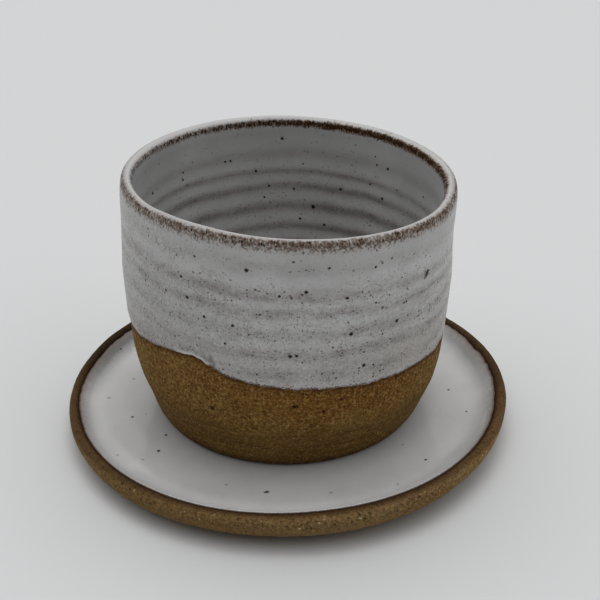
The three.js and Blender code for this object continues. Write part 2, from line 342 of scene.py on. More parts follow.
# rounded edge of the coat, then the free outside
up = np.array([0.03, 0.09, 0.18, 0.3, 0.46, 0.66, 0.9, 1.25, 1.7, 2.3, 3.0])
edge_z = zl + up[:, None]
frac = np.linspace(0, 1, 58)[1:, None]
free_z = zl + up[-1] + (73.4 - zl - up[-1]) * frac
out_z = np.concatenate([edge_z, free_z])
d = out_z - zl
coat = GLAZE * (0.22 + 0.78 * smooth(0, 2.6, d)) * np.sqrt(np.clip(1 - (1 - np.minimum(d / 0.4, 1.0)) ** 2, 0, 1))
# the first dip ends in a thick roll left of the front's middle
roll = smooth(-44, -35, deg[None]) * smooth(-26.0, -27.4, deg[None]) * np.exp(-((d - 0.6) / 0.5) ** 2)
dip = smooth(-41, -33, deg[None]) * smooth(-24.4, -25.8, deg[None]) * np.exp(-((d - 2.0) / 0.8) ** 2)
coat = coat + (0.30 * roll - 0.10 * dip) * smooth(0, 0.4, d)
out_r = wall_r(out_z) - GLAZE + coat
out_rz = np.stack([out_r, out_z], -1)
a = np.linspace(0, np.pi, 25)[1:-1]
lip_rz = np.stack([43.4 + 1.6 * np.cos(a), 73.4 + 1.985 * np.sin(a)], 1)
in_rz = resample(INSIDE_GLAZE, lambda s, r, z: 0.8 if z > 26 else 1.3 if r > 14 else 2.0)
rz = np.concatenate([grid(back_in, phi), grid(back_lip, phi), back_wall, out_rz, grid(lip_rz, phi), grid(in_rz, phi)])
n_back, n_out, n_lip = len(back_in) + len(back_lip) + len(back_wall), len(out_rz), len(lip_rz)
row = np.arange(len(rz))[:, None]
is_out = (row >= n_back) & (row < n_back + n_out)
is_in = row >= n_back + n_out + n_lip
P = fired_cup(rz[..., 0], rz[..., 1], phi[None])
z = rz[..., 1]
flat = P * np.array([1, 1, 0.35])
out_crest = ridge(out_phase(z), phi[None], 0.11 * noise(flat, 17, 11) + 0.07 * noise(flat, 6, 12)) * out_strength(z)
in_crest = ridge(in_phase(z), phi[None], 0.09 * noise(flat, 20, 13) + 0.035 * noise(flat, 8, 14)) ** 1.5 * in_strength(z)
# some stretches of a ridge stand out more than others
out_crest = out_crest * (0.78 + 0.45 * noise(flat * np.array([1, 1, 2.5]), 19, 18))
out_crest = out_crest * (1 - 0.45 * smooth(48, 75, np.abs(deg[None])) * smooth(140, 110, np.abs(deg[None])))
in_crest = in_crest * (0.92 + 0.25 * noise(flat * np.array([1, 1, 2.5]), 21, 19))
crest = np.where(is_out, out_crest, np.where(is_in, in_crest, 0))
above = np.where(is_out, z - zl[None], 50.0)
height = np.where(is_out, 0.055 * (out_crest - 0.4) * smooth(0.8, 4, above) * smooth(73.4, 71.5, z), 0)
height = height + np.where(is_in, 0.24 * (in_crest - 0.4) * smooth(73.3, 70, z), 0)
height = height + np.where(row >= n_back, 0.05 * noise(P, 7, 15) + 0.02 * noise(P, 2.4, 16), 0) * smooth(0.3, 2.0, above)
# a crease rises from the end of the roll
crease = np.exp(-((deg[None] + 25.2 - 0.5 * noise(P, 4, 17) + 0.22 * (z - zl[None] - 2)) / 0.85) ** 2) * smooth(5.6, 2.6, above) * smooth(-0.2, 0.6, above)
crease = np.where(is_out, crease, 0)
height = height - 0.16 * crease * smooth(0.2, 0.8, above)
nrm = normals2d(rz)
height = height * (row >= n_back)
Q = fired_cup(rz[..., 0] + nrm[..., 0] * height, z + nrm[..., 1] * height, phi[None])
Q[0], Q[-1] = Q[0].mean(0), Q[-1].mean(0)
# distance from the lip's crest along the surface: minus outside, plus inside
step = np.linalg.norm(np.diff(rz[n_back:], axis=0), axis=-1)
arc = np.concatenate([np.zeros((1, len(phi))), np.cumsum(step, 0)])
lip_s = np.full(rz.shape[:2], -50.0)
lip_s[n_back:] = arc - arc[n_out + n_lip // 2][None]
# where round the lip the coat has run thin and brown
brown_out = pchip([(-180, 0.85), (-120, 0.8), (-75, 0.92), (-45, 0.88), (-15, 0.98), (20, 1.0), (60, 1.0), (95, 1.0), (140, 0.8), (180, 0.85)])(deg)
brown_in = pchip([(-180, 0.9), (-150, 0.76), (-130, 0.66), (-110, 0.57), (-90, 0.48), (-60, 0.4), (60, 0.5), (85, 0.85), (110, 1.0), (165, 1.05), (180, 0.9)])(deg)
browned = np.where(lip_s < 0, brown_out[None], brown_in[None])
# distance of the middle of the brown bands from the crest
crown_out = pchip([(-180, 1.9), (-100, 1.9), (-70, 1.7), (-50, 2.0), (-30, 1.95), (0, 1.6), (20, 1.6), (50, 1.65), (70, 1.8), (100, 1.9), (180, 1.9)])(deg)
crown_in = pchip([(-180, 2.3), (-150, 2.45), (-120, 2.35), (-100, 2.0), (-80, 1.7), (80, 1.65), (95, 1.8), (110, 2.1), (150, 2.2), (180, 2.3)])(deg)
crown = np.where(lip_s < 0, crown_out[None], crown_in[None])
whole = np.zeros(rz.shape[:2])
whole[n_back:n_back + n_out] = roll
hollow = np.zeros(rz.shape[:2])
hollow[n_back:n_back + n_out] = dip
S = 188.0
j_lip = n_back + n_out + n_lip // 2
j_floor = n_back + n_out + n_lip + int(np.argmax(in_rz[:, 0] < 27))
cup_glaze = build("cup_glaze_coat", Q,
                  [(0, n_back - 1, "strip", (146 / S, 2 / S, 40 / S, 90 / S), 1),
                   (n_back - 1, j_lip, "strip", (1 / S, 0.8 / S, 142.5 / S, 90 / S), 2),
                   (j_lip, j_floor, "strip", (1 / S, 92 / S, 100 / S, 95 / S), 2),
                   (j_floor, len(rz) - 1, "disc", (104 / S, 100 / S, 60 / S, 60 / S), 1)],
                  {"crest": crest, "above": above, "lip": lip_s, "browned": browned, "crown": crown, "roll": whole, "hollow": hollow, "crease": crease})

# -------------------------------------------------------------- saucer, clay
def crept(phi):
    """How far the saucer's glaze has crept out (+) or drawn back (-), in mm."""
    ring = np.stack([60 * np.sin(phi), -60 * np.cos(phi), 0 * phi], -1)
    d = degrees(phi)
    base = pchip([(-180, -0.2), (-140, -0.2), (-105, -0.2), (-75, 0.05), (-40, -0.1), (0, -0.12), (60, -0.05), (95, 0), (130, -0.3), (160, -0.25), (180, -0.2)])(d)
    torn = pchip([(-180, 0.6), (-120, 0.4), (-60, 0.2), (0, 0.12), (60, 0.2), (95, 0.5), (150, 0.9), (180, 0.6)])(d)
    return base + torn * (0.34 * noise(ring, 2.6, 35) + 0.22 * noise(ring, 1.2, 36))


def reach(r, phi):
    """How much further in the bare rim reaches, in mm."""
    by = pchip([(-180, 0), (-130, 0), (-118, 0.1), (-104, 0.15), (-94, -0.06), (-85, -0.18), (-75, -0.1), (-65, -0.34), (-52, -0.36), (-37, -0.09), (-22, 0.02), (-7, 0.25),
                (7, 0.46), (22, 0.22), (37, -0.1), (52, -0.4), (65, -0.34), (75, -0.12), (85, 0.06), (94, 0), (118, 0.06), (126, -0.3), (150, 0), (180, 0)])
    return by(degrees(phi)) * smooth(62.6, 60.9, r) * smooth(55.6, 58.5, r)


phi = cup_columns(840)
under = resample(polyline([(0, 1.15), (41.6, 1.0), (43.2, -1.1), (44, -STAND), (51.6, -STAND), (52.4, -1.1), (53.6, 0.5), (57, 1.12)], soft=0.3),
                 lambda a, r, z: 3.0 if r < 38 else 0.5)
edge = resample(curve([(57, 1.12), (60.7, 1.8), (62.5, 2.5), (63.6, 3.9), (64.0, 5.4), (63.8, 6.9), (63.2, 7.85), (61.9, 8.2), (60.75, 7.95)]), lambda a, r, z: 0.36)[1:]
well = np.array([(60.2, 7.4), (59.3, 6.68), (57.6, 5.62), (55.6, 5.05), (51, 4.93), (30, 4.93), (0, 4.93)])
rz2 = np.concatenate([under, edge, well])
rz = grid(rz2, phi)
n_under, n_edge = len(under), len(edge)
upper = np.arange(len(rz))[:, None] > np.argmax(rz2[:, 0])
rz[..., 0] -= np.where(upper, reach(rz[..., 0], phi[None]), 0)
P = fired_saucer(rz[..., 0], rz[..., 1], phi[None])
row = np.arange(len(rz))[:, None]
nrm = normals2d(rz)
# distance along the section from the glaze's edge
step = np.concatenate([[0], np.cumsum(np.hypot(*np.diff(rz2, axis=0).T))])
away = np.maximum(0, step[n_under + n_edge - 1] - step[:, None] - crept(phi)[None])
# width of the stained part: narrow at the front, wider round the sides and back
stained = pchip([(-180, 5.2), (-90, 5.0), (-65, 4.0), (-45, 2.7), (-25, 1.9), (0, 1.6), (25, 1.8), (45, 2.5), (65, 4.0), (90, 5.0), (180, 5.2)])(degrees(phi))[None] + 0 * away
# how dark the rim is, beside the glaze and at the edge, by angle: partly the clay's own firing, partly painted light
# and shade, with the back of the rim painted darkest
burnt_light_and_shade = pchip([(-180, 0.35), (-118, 0.29), (-110, 0.28), (-102, 0.42), (-94, 0.64), (-85, 0.8), (-75, 0.74), (-65, 0.85), (-50, 0.78), (-37, 0.8), (-22, 0.85), (0, 0.88),
               (22, 0.92), (37, 0.93), (52, 0.98), (65, 0.88), (75, 0.86), (85, 0.82), (94, 0.62), (118, 0.66), (150, 0.45), (180, 0.35)])(degrees(phi))[None]
fired_light_and_shade = pchip([(-180, 0.45), (-118, 0.5), (-110, 0.54), (-102, 0.63), (-94, 0.74), (-85, 0.98), (-75, 1.0), (-65, 1.02), (-50, 0.9), (-37, 0.82), (0, 0.87), (22, 0.9),
               (37, 0.94), (52, 1.04), (65, 1.28), (75, 1.08), (85, 0.92), (94, 0.62), (118, 0.6), (150, 0.5), (180, 0.45)])(degrees(phi))[None]
tone = 1.1 * (burnt_light_and_shade + (fired_light_and_shade - burnt_light_and_shade) * smooth(0.5, 3.5, away))
tone = tone + (1 - tone) * smooth(6.5, 9.0, away)
# coarse grog stands out on the shoulder that the sponge has worn
worn = smooth(-0.2, 1.0, away - stained + 0.7 * noise(P, 5, 25)) * smooth(6.0, 4.2, away + 0.9 * noise(P, 7, 26)) * (0.65 + 0.35 * noise(P, 14, 27))
height = (0.03 + 0.05 * worn) * noise(P, 0.95, 21) + (0.03 + 0.03 * worn) * noise(P, 2.2, 22) + 0.06 * noise(P, 10, 23) - 0.03 * worn
height = height * smooth(0.1, 1.0, away)
height = np.where(row < n_under, np.minimum(0, height - 0.02 + 0.02 * np.sin(2 * np.pi * rz[..., 0] / 1.7 + phi[None])), height)
height[0] = 0
Q = fired_saucer(np.minimum(rz[..., 0] + nrm[..., 0] * height, 63.99), np.maximum(rz[..., 1] + nrm[..., 1] * height, -STAND), phi[None])
Q[0], Q[-1] = Q[0].mean(0), Q[-1].mean(0)
S = 138.0
saucer_body = build("saucer_body_clay", Q,
                    [(0, n_under - 1, "disc", (1 / S, 61.5 / S, 75 / S, 75 / S), 1),
                     (n_under - 1, n_under + n_edge - 1, "strip", (1 / S, 0.8 / S, 103 / S, 60 / S), 4),
                     (n_under + n_edge - 1, len(rz) - 1, "disc", (80 / S, 80 / S, 50 / S, 50 / S), 1)],
                    {"away": away, "worn": worn, "stained": stained, "tone": tone})

# ------------------------------------------------------------- saucer, glaze
phi = cup_columns(640)
back = np.array([(0, WELL_Z - GLAZE), (30, WELL_Z - GLAZE), (51, WELL_Z - GLAZE), (55.6, 5.17), (57.6, 5.74), (59.3, 6.8), (60.75, 7.95)])
face = resample(curve([(60.75, 7.95), (60.68, 8.05), (60.43, 8.08), (59.3, 7.38), (57.7, 6.24), (56.0, 5.68), (53, 5.52), (50, WELL_Z), (44, WELL_Z), (25, WELL_Z), (0, WELL_Z)], step=0.05),
                lambda a, r, z: 0.06 if a < 0.3 else 0.3 if r > 54 else 1.0 if r > 34 else 2.2)[1:]
rz = grid(np.concatenate([back, face]), phi)
row = np.arange(len(rz))[:, None]
inside = np.where(row >= len(back), 60.75 - rz[..., 0], 0)
shift = crept(phi)[None] * smooth(58.7, 60.68, rz[..., 0])
rz[..., 0] -= reach(rz[..., 0], phi[None])
P = fired_saucer(rz[..., 0], rz[..., 1], phi[None])
nrm = normals2d(rz)
r = rz[..., 0]
height = 0.05 * noise(P, 15, 31) * smooth(0.5, 5, inside) * smooth(36, 42, r)
height = height + 0.03 * (np.cos(2 * np.pi * (r / 7.5 + phi[None] / (2 * np.pi))) - 1) * smooth(38, 42, r) * smooth(56, 52, r)
height = np.where(row >= len(back), height, 0)
height[-1] = 0
lift = np.where(shift > 0, 0.217, 0.79) * shift
# by angle: how much the colour near the rim is scaled, for pooled and thin glaze and for painted light and shade
pooled_light_and_shade = pchip([(-180, 0.6), (-130, 0.3), (-118, 0.25), (-110, 0.31), (-102, 0.47), (-94, 0.72), (-85, 1.0), (-75, 0.9), (-65, 1.0), (-52, 1.1), (-37, 1.06), (-22, 1.32), (-7, 1.36),
                (7, 1.35), (22, 1.3), (37, 1.14), (52, 1.04), (65, 0.98), (75, 1.0), (85, 1.05), (94, 0.86), (102, 0.64), (110, 0.55), (118, 0.57), (126, 0.9), (180, 0.6)])(degrees(phi))[None] + 0 * r
thinned = pchip([(-180, 0.9), (-120, 0.85), (-80, 0.8), (-60, 0.66), (-30, 0.45), (0, 0.4), (30, 0.45), (55, 0.66), (70, 0.82), (95, 0.92), (140, 1.0), (180, 0.9)])(degrees(phi))[None] + 0 * r
Q = fired_saucer(r + nrm[..., 0] * height + shift, rz[..., 1] + nrm[..., 1] * height + lift, phi[None])
Q[0], Q[-1] = Q[0].mean(0), Q[-1].mean(0)
S = 123.0
saucer_glaze = build("saucer_glaze_coat", Q,
                     [(0, len(back) - 1, "disc", (0.5 / S, 0.5 / S, 14 / S, 14 / S), 1),
                      (len(back) - 1, len(rz) - 1, "disc", (1 / S, 1 / S, 121 / S, 121 / S), 1)],
                     {"inside": inside, "thinned": thinned, "pooled_light_and_shade": pooled_light_and_shade})


# ----------------------------------------------------------------- materials
class Nodes:
    """Short names for building a material's nodes."""

    def __init__(self, name):
        self.mat = bpy.data.materials.new(name)
        self.mat.use_nodes = True
        self.tree = self.mat.node_tree
        self.tree.nodes.clear()
        self.out = self.tree.nodes.new("ShaderNodeOutputMaterial")
        self.bsdf = self.tree.nodes.new("ShaderNodeBsdfPrincipled")
        self.tree.links.new(self.bsdf.outputs[0], self.out.inputs[0])
        coord = self.tree.nodes.new("ShaderNodeTexCoord")
        self.mm = self.vector("MULTIPLY_ADD", coord.outputs["Object"], (1000.0, 1000.0, 1000.0), (0.0, 0.0, -STAND))

    def put(self, socket, value):
        if hasattr(value, "is_output"):
            self.tree.links.new(value, socket)
        else:
            socket.default_value = value

    def node(self, kind, **props):
        n = self.tree.nodes.new(kind)
        for k, v in props.items():
            setattr(n, k, v)
        return n

    def vector(self, op, a, b=None, c=None, scale=None):
        n = self.node("ShaderNodeVectorMath", operation=op)
        self.put(n.inputs[0], a)
        if b is not None:
            self.put(n.inputs[1], b)
        if c is not None:
            self.put(n.inputs[2], c)
        if scale is not None:
            self.put(n.inputs["Scale"], scale)
        return n.outputs["Value"] if op in ("DISTANCE", "LENGTH", "DOT_PRODUCT") else n.outputs[0]

    def math(self, op, a, b=0.0, c=0.0, clamp=False):
        n = self.node("ShaderNodeMath", operation=op, use_clamp=clamp)
        self.put(n.inputs[0], a)
        self.put(n.inputs[1], b)
        self.put(n.inputs[2], c)
        return n.outputs[0]

    def map(self, v, a, b, c=0.0, d=1.0, smooth=True):
        n = self.node("ShaderNodeMapRange", interpolation_type="SMOOTHSTEP" if smooth else "LINEAR")
        for k, x in zip(("Value", "From Min", "From Max", "To Min", "To Max"), (v, a, b, c, d)):
            self.put(n.inputs[k], x)
        return n.outputs[0]

    def noise(self, scale, detail=2.0, rough=0.5, vec=None, dist=0.0):
        n = self.node("ShaderNodeTexNoise")
        self.put(n.inputs["Vector"], self.mm if vec is None else vec)
        for k, x in (("Scale", scale), ("Detail", detail), ("Roughness", rough), ("Distortion", dist)):
            self.put(n.inputs[k], x)
        return n.outputs["Fac"]

    def cells(self, scale, vec=None, rand=1.0):
        n = self.node("ShaderNodeTexVoronoi", feature="F1")
        self.put(n.inputs["Vector"], self.mm if vec is None else vec)
        self.put(n.inputs["Scale"], scale)
        self.put(n.inputs["Randomness"], rand)
        sep = self.node("ShaderNodeSeparateColor")
        self.put(sep.inputs[0], n.outputs["Color"])
        return n.outputs["Distance"], sep.outputs[0], sep.outputs[1], sep.outputs[2]

    def mix(self, fac, a, b, mode="MIX"):
        n = self.node("ShaderNodeMix", data_type="RGBA", blend_type=mode)
        self.put(n.inputs[0], fac)
        self.put(n.inputs[6], a)
        self.put(n.inputs[7], b)
        return n.outputs[2]

    def attr(self, name):
        return self.node("ShaderNodeAttribute", attribute_name=name).outputs["Fac"]

    def specks(self, scale, amount, small, large, vec=None, core=0.55):
        """Round specks: cells of 1/scale mm, amount the part of cells that
        hold one, radius from small to large in mm."""
        dist, a, b, c = self.cells(scale, vec)
        there = self.math("LESS_THAN", a, amount)
        radius = self.map(b, 0, 1, small * scale, large * scale, smooth=False)
        mask = self.map(dist, radius, self.math("MULTIPLY", radius, core))
        return self.math("MULTIPLY", mask, there), c

    def bump(self, height, distance, strength=1.0, normal=None):
        n = self.node("ShaderNodeBump")
        self.put(n.inputs["Strength"], strength)
        self.put(n.inputs["Distance"], distance)
        self.put(n.inputs["Height"], height)
        if normal is not None:
            self.put(n.inputs["Normal"], normal)
        return n.outputs[0]

    def warped(self, scale, by):
        """The place in mm, pushed about by noise so that specks aren't round."""
        n = self.node("ShaderNodeTexNoise")
        self.put(n.inputs["Vector"], self.mm)
        self.put(n.inputs["Scale"], scale)
        self.put(n.inputs["Detail"], 1.0)
        off = self.vector("SUBTRACT", n.outputs["Color"], (0.5, 0.5, 0.5))
        return self.vector("ADD", self.mm, self.vector("SCALE", off, scale=by))

    def marks(self, places, vec):
        """Single specks at (x, y, z, radius), in mm."""
        total = None
        for x, y, z, r in places:
            one = self.map(self.vector("DISTANCE", vec, (x, y, z)), r * 1.3, r * 0.7)
            total = one if total is None else self.math("MAXIMUM", total, one)
        return total


def rgb(r, g, b):
    return (r, g, b, 1.0)


# iron specks of the outside by angle, height and radius
OUTSIDE_SPECKS = [(-12.7, 67.2, 0.55), (5.7, 62.4, 0.5), (18.5, 60.0, 0.42), (-33.7, 56.6, 0.48), (-43.1, 56.2, 0.36), (-27.2, 52.7, 0.4),
                  (-17.2, 52.0, 0.42), (20.0, 49.8, 0.55), (36.6, 50.2, 0.5), (31.2, 47.6, 0.34), (25.0, 39.5, 0.55), (28.5, 38.9, 0.3),
                  (0.9, 44.6, 0.46), (2.9, 44.8, 0.42), (-2.5, 61.2, 0.36), (-36.2, 61.6, 0.34), (-38.0, 66.8, 0.3), (12.4, 68.7, 0.36),
                  (27.5, 67.4, 0.34), (40.4, 54.8, 0.3), (-20.0, 46.5, 0.36), (58.2, 49.7, 0.3), (46.7, 50.1, 0.3),
                  (48.9, 58.75, 0.28), (49.8, 59.35, 0.55), (50.2, 59.9, 0.68), (50.6, 60.5, 0.5)]
INSIDE_SPECKS = [(-1.2, 41.5, 69.0, 0.55), (-9.3, 40.0, 59.0, 0.42), (-18.4, 37.3, 63.1, 0.42), (-16.8, 38.0, 63.1, 0.36), (-38.1, 16.1, 62.1, 0.5),
                 (-5.3, 40.4, 54.0, 0.36), (2.3, 40.5, 52.8, 0.4), (8.2, 39.4, 47.3, 0.62), (4.2, 40.1, 43.0, 0.42), (-6.8, 40.3, 50.3, 0.34),
                 (28.5, 28.2, 54.8, 0.5), (16.5, 36.6, 54.3, 0.45), (29.8, 27.3, 64.6, 0.45), (26.8, 30.3, 64.7, 0.34), (26.4, 30.9, 67.1, 0.32),
                 (-30.4, 28.6, 63.3, 0.34), (-30.5, 28.4, 61.0, 0.34), (38.7, 12.6, 62.0, 0.34), (32.4, 23.8, 59.3, 0.32), (5.1, 40.5, 61.1, 0.3),
                 (11.6, 38.3, 41.7, 0.4), (25.0, 31.4, 58.1, 0.36)]
SAUCER_SPECKS = [(-44.4, -13.5, 5.5, 0.46), (-34.1, -22.6, 5.5, 0.42), (-35.4, -30.1, 5.5, 0.5), (47.7, -0.3, 5.5, 0.4), (51.4, -11.9, 5.5, 0.38),
                 (37.2, -35.1, 5.5, 0.44), (-5.5, -48.5, 5.45, 0.5), (-6.1, -48.7, 5.45, 0.34), (-52.2, 24.0, 5.8, 0.4)]
SAUCER_FAINT = [(-40.7, -12.0, 5.5, 0.4), (-39.3, -34.1, 5.5, 0.38), (-46.4, -31.8, 5.5, 0.42), (-52.4, -3.4, 5.5, 0.6), (-46.3, 6.9, 5.5, 0.5),
                (31.6, -28.0, 5.45, 0.4), (-16.3, -45.4, 5.45, 0.42), (11.1, -49.1, 5.5, 0.45), (28.8, -45.8, 5.5, 0.36), (43.0, 24.0, 5.5, 0.4)]
CLAY_PITS = [(-19.5, -39.2, 25.4, 0.6), (1.6, -44.2, 28.9, 0.5), (2.4, -44.1, 29.0, 0.4), (9.2, -43.2, 26.8, 0.5), (30.3, -32.8, 32.2, 0.55),
             (13.7, -42.3, 29.8, 0.42), (-6.1, -43.6, 27.1, 0.34)]


def cup_places(specks):
    out = []
    for a, z, r in specks:
        x = fired_cup(wall_r(np.float64(z)), np.float64(z), np.radians(a))
        out.append((float(x[0]), float(x[1]), float(x[2]) - STAND, r))
    return out


def glaze_material():
    m = Nodes("white_speckled_glaze")
    crest, above, lip, browned, crown = m.attr("crest"), m.attr("above"), m.attr("lip"), m.attr("browned"), m.attr("crown")
    roll, hollow, crease = m.attr("roll"), m.attr("hollow"), m.attr("crease")
    soft = m.noise(0.11, 3, 0.55)
    mid = m.noise(0.45, 3, 0.6)
    fine = m.noise(2.2, 3, 0.65)
    drawn = m.noise(0.5, 4, 0.65, vec=m.vector("MULTIPLY", m.mm, (0.25, 0.25, 1.3)))
    warp = m.warped(1.6, 0.5)
    mottle = m.noise(1.1, 4, 0.7)
    patch = m.noise(0.14, 2, 0.5, vec=m.vector("MULTIPLY", m.mm, (1.0, 1.0, 2.2)))
    sep = m.node("ShaderNodeSeparateXYZ")
    m.put(sep.inputs[0], m.mm)
    outer = m.math("LESS_THAN", lip, 0.0)
    # calmer and whiter towards the lip, busier on the left
    left = m.math("MULTIPLY", m.map(sep.outputs[0], -6.0, -36.0), outer)
    high = m.math("ADD", sep.outputs[2], m.map(patch, 0.3, 0.7, -5.0, 5.0))
    busy = m.map(m.math("SUBTRACT", high, m.math("MULTIPLY", left, 8.0)), 67.0, 56.0, 0.25, 1.0)
    stir = m.math("MULTIPLY", busy, m.math("MULTIPLY_ADD", outer, 0.65, 0.35))
    # how thin the coat is: on the ridges, and in streaks that follow the turning
    uneven = m.math("MULTIPLY", m.map(patch, 0.36, 0.62, 0.55, 1.1), m.map(mid, 0.3, 0.62, 0.65, 1.15))
    even = m.math("MULTIPLY_ADD", uneven, 0.3, 0.66)
    thin = m.math("MULTIPLY", crest, m.math("MULTIPLY_ADD", m.math("SUBTRACT", uneven, even), outer, even))
    thin = m.math("ADD", thin, m.math("MULTIPLY", m.map(drawn, 0.5, 0.7, 0.0, 0.42), m.math("MULTIPLY", busy, m.math("MULTIPLY_ADD", outer, 0.8, 0.2))))
    thin = m.math("MULTIPLY", thin, m.map(above, 0.2, 1.4))
    # colour of the coat. Painted shade: the inside is darker than the outside and darker still at its sides, and the
    # outside is darker on its lower left, its lower right and towards the bottom. The outside is also a little darker
    # towards the top.
    c = m.mix(m.map(soft, 0.35, 0.65), rgb(0.605, 0.603, 0.597), rgb(0.665, 0.663, 0.658))
    c = m.mix(outer, m.mix(0.5, c, rgb(0.525, 0.528, 0.531)), c)
    c = m.mix(m.math("MULTIPLY", left, m.map(sep.outputs[2], 68.0, 56.0)), c, rgb(0.85, 0.85, 0.845), "MULTIPLY")
    wide = m.math("ABSOLUTE", sep.outputs[0])
    c = m.mix(m.math("MULTIPLY", m.map(wide, 28.0, 37.0, 0.0, 1.0), m.math("SUBTRACT", 1.0, outer)), c, rgb(0.83, 0.83, 0.832), "MULTIPLY")
    right = m.math("MULTIPLY", m.map(sep.outputs[0], 10.0, 32.0), outer)
    c = m.mix(m.math("MULTIPLY", right, m.map(sep.outputs[2], 60.0, 52.0)), c, rgb(0.93, 0.925, 0.92), "MULTIPLY")
    low = m.math("MULTIPLY", m.map(sep.outputs[2], 50.0, 40.0), m.math("MULTIPLY_ADD", right, 0.37, 0.63))
    low = m.math("MAXIMUM", low, m.math("MULTIPLY", left, m.map(above, 9.0, 3.0)))
    c = m.mix(m.math("MULTIPLY", low, outer), c, rgb(0.91, 0.865, 0.845), "MULTIPLY")
    c = m.mix(m.math("MULTIPLY", m.map(sep.outputs[2], 64.0, 69.0), outer), c, rgb(0.91, 0.91, 0.905), "MULTIPLY")
    band_c = m.mix(outer, rgb(0.17, 0.152, 0.142), rgb(0.33, 0.305, 0.285))
    c = m.mix(m.math("MULTIPLY", thin, m.math("MULTIPLY_ADD", outer, -0.16, 0.92), clamp=True), c, band_c)
    c = m.mix(m.math("MULTIPLY", m.map(mottle, 0.51, 0.70, 0.0, 0.62), stir), c, rgb(0.33, 0.31, 0.29))
    c = m.mix(m.math("MULTIPLY", m.map(mottle, 0.47, 0.3, 0.0, 0.5), stir), c, rgb(0.78, 0.78, 0.775))
    c = m.mix(m.math("MULTIPLY", m.map(fine, 0.5, 0.68, 0.0, 0.4), stir), c, rgb(0.32, 0.30, 0.28))
    # whiter roll of glaze at the lower edge and at the end of the first dip
    c = m.mix(m.math("MULTIPLY", m.map(above, 2.6, 1.0, 0.0, 0.2), m.math("SUBTRACT", 1.0, left)), c, rgb(0.69, 0.69, 0.685))
    c = m.mix(m.math("MULTIPLY", roll, 0.8), c, rgb(0.80, 0.80, 0.795))
    # painted shade: the hollow above the roll and the crease are painted darker
    c = m.mix(m.math("MULTIPLY", hollow, m.map(mottle, 0.3, 0.65, 0.35, 0.75)), c, rgb(0.28, 0.262, 0.245))
    c = m.mix(m.math("MULTIPLY", crease, 0.75), c, rgb(0.18, 0.162, 0.148))
    # iron specks, thick on the ridges
    clean = m.math("MULTIPLY", m.math("SUBTRACT", 1.0, m.math("MULTIPLY", roll, 0.95)), m.map(busy, 0.25, 1.0, 0.4, 1.0))
    low_left = m.math("MULTIPLY", left, m.map(above, 10.0, 2.0))
    plain = m.math("MULTIPLY_ADD", outer, 0.11, m.math("MULTIPLY_ADD", low_left, 0.22, 0.05))
    dust, tone = m.specks(2.1, m.math("MULTIPLY", m.math("MULTIPLY_ADD", thin, 0.72, plain), clean), 0.13, 0.30, vec=warp, core=0.4)
    c = m.mix(m.math("MULTIPLY", dust, m.map(tone, 0, 1, 0.2, 0.85)), c, rgb(0.155, 0.125, 0.105))
    plain = m.math("MULTIPLY_ADD", outer, 0.08, m.math("MULTIPLY_ADD", low_left, 0.14, 0.05))
    grains, tone = m.specks(1.05, m.math("MULTIPLY", m.math("MULTIPLY_ADD", thin, 0.55, plain), clean), 0.18, 0.42, vec=m.vector("ADD", warp, (5.0, 9.0, 1.0)), core=0.7)
    c = m.mix(m.math("MULTIPLY", grains, m.math("MULTIPLY", m.map(tone, 0, 1, 0.3, 0.9), m.math("MULTIPLY_ADD", outer, 0.3, 0.7))), c, rgb(0.080, 0.050, 0.036))
    drops, tone = m.specks(0.42, m.math("MULTIPLY_ADD", thin, 0.25, m.math("MULTIPLY_ADD", outer, 0.07, 0.06)), 0.26, 0.5, vec=m.vector("ADD", warp, (1.0, 4.0, 7.0)), core=0.7)
    c = m.mix(m.math("MULTIPLY", drops, m.math("MULTIPLY", m.map(tone, 0, 1, 0.5, 0.95), m.math("MULTIPLY_ADD", outer, 0.3, 0.7))), c, rgb(0.04, 0.028, 0.021))
    # large specks
    known = m.marks(cup_places(OUTSIDE_SPECKS) + INSIDE_SPECKS, warp)
    behind = m.map(sep.outputs[1], -6.0, 4.0)
    spots, tone = m.specks(0.155, 0.5, 0.35, 0.7, vec=m.vector("ADD", warp, (3.7, 1.9, 8.3)))
    spots = m.math("MAXIMUM", m.math("MULTIPLY", spots, m.math("MULTIPLY", behind, outer)), known)
    c = m.mix(m.math("MULTIPLY", spots, 0.96), c, rgb(0.016, 0.011, 0.008))
    # one blotch of melted iron, right of the front
    blot = m.marks([(*cup_places([(50.0, 59.7, 1.0)])[0][:3], 1.2)], m.warped(0.9, 1.4))
    c = m.mix(m.math("MULTIPLY", m.math("MULTIPLY", blot, m.math("SUBTRACT", 1.0, spots)), 0.5), c, rgb(0.17, 0.115, 0.085))
    # the lower edge, stained and broken by the grains of clay under it
    torn = m.math("ADD", above, m.math("ADD", m.math("MULTIPLY", m.math("SUBTRACT", mottle, 0.5), 2.2), m.math("MULTIPLY", m.math("SUBTRACT", fine, 0.5), 1.6)))
    torn = m.math("ADD", torn, m.math("MULTIPLY", roll, 0.6))
    c = m.mix(m.map(torn, 0.7, 0.3, 0.0, 0.85), c, rgb(0.105, 0.058, 0.030))
    near = m.math("DIVIDE", above, m.math("MULTIPLY_ADD", left, 0.9, 1.0))
    grit, tone = m.specks(1.5, m.math("MULTIPLY", m.map(near, 2.6, 0.5, 0.0, 0.6), clean), 0.16, 0.38, vec=m.vector("ADD", warp, (2.0, 8.0, 13.0)), core=0.5)
    c = m.mix(m.math("MULTIPLY", grit, m.map(tone, 0, 1, 0.3, 0.9)), c, rgb(0.10, 0.058, 0.034))
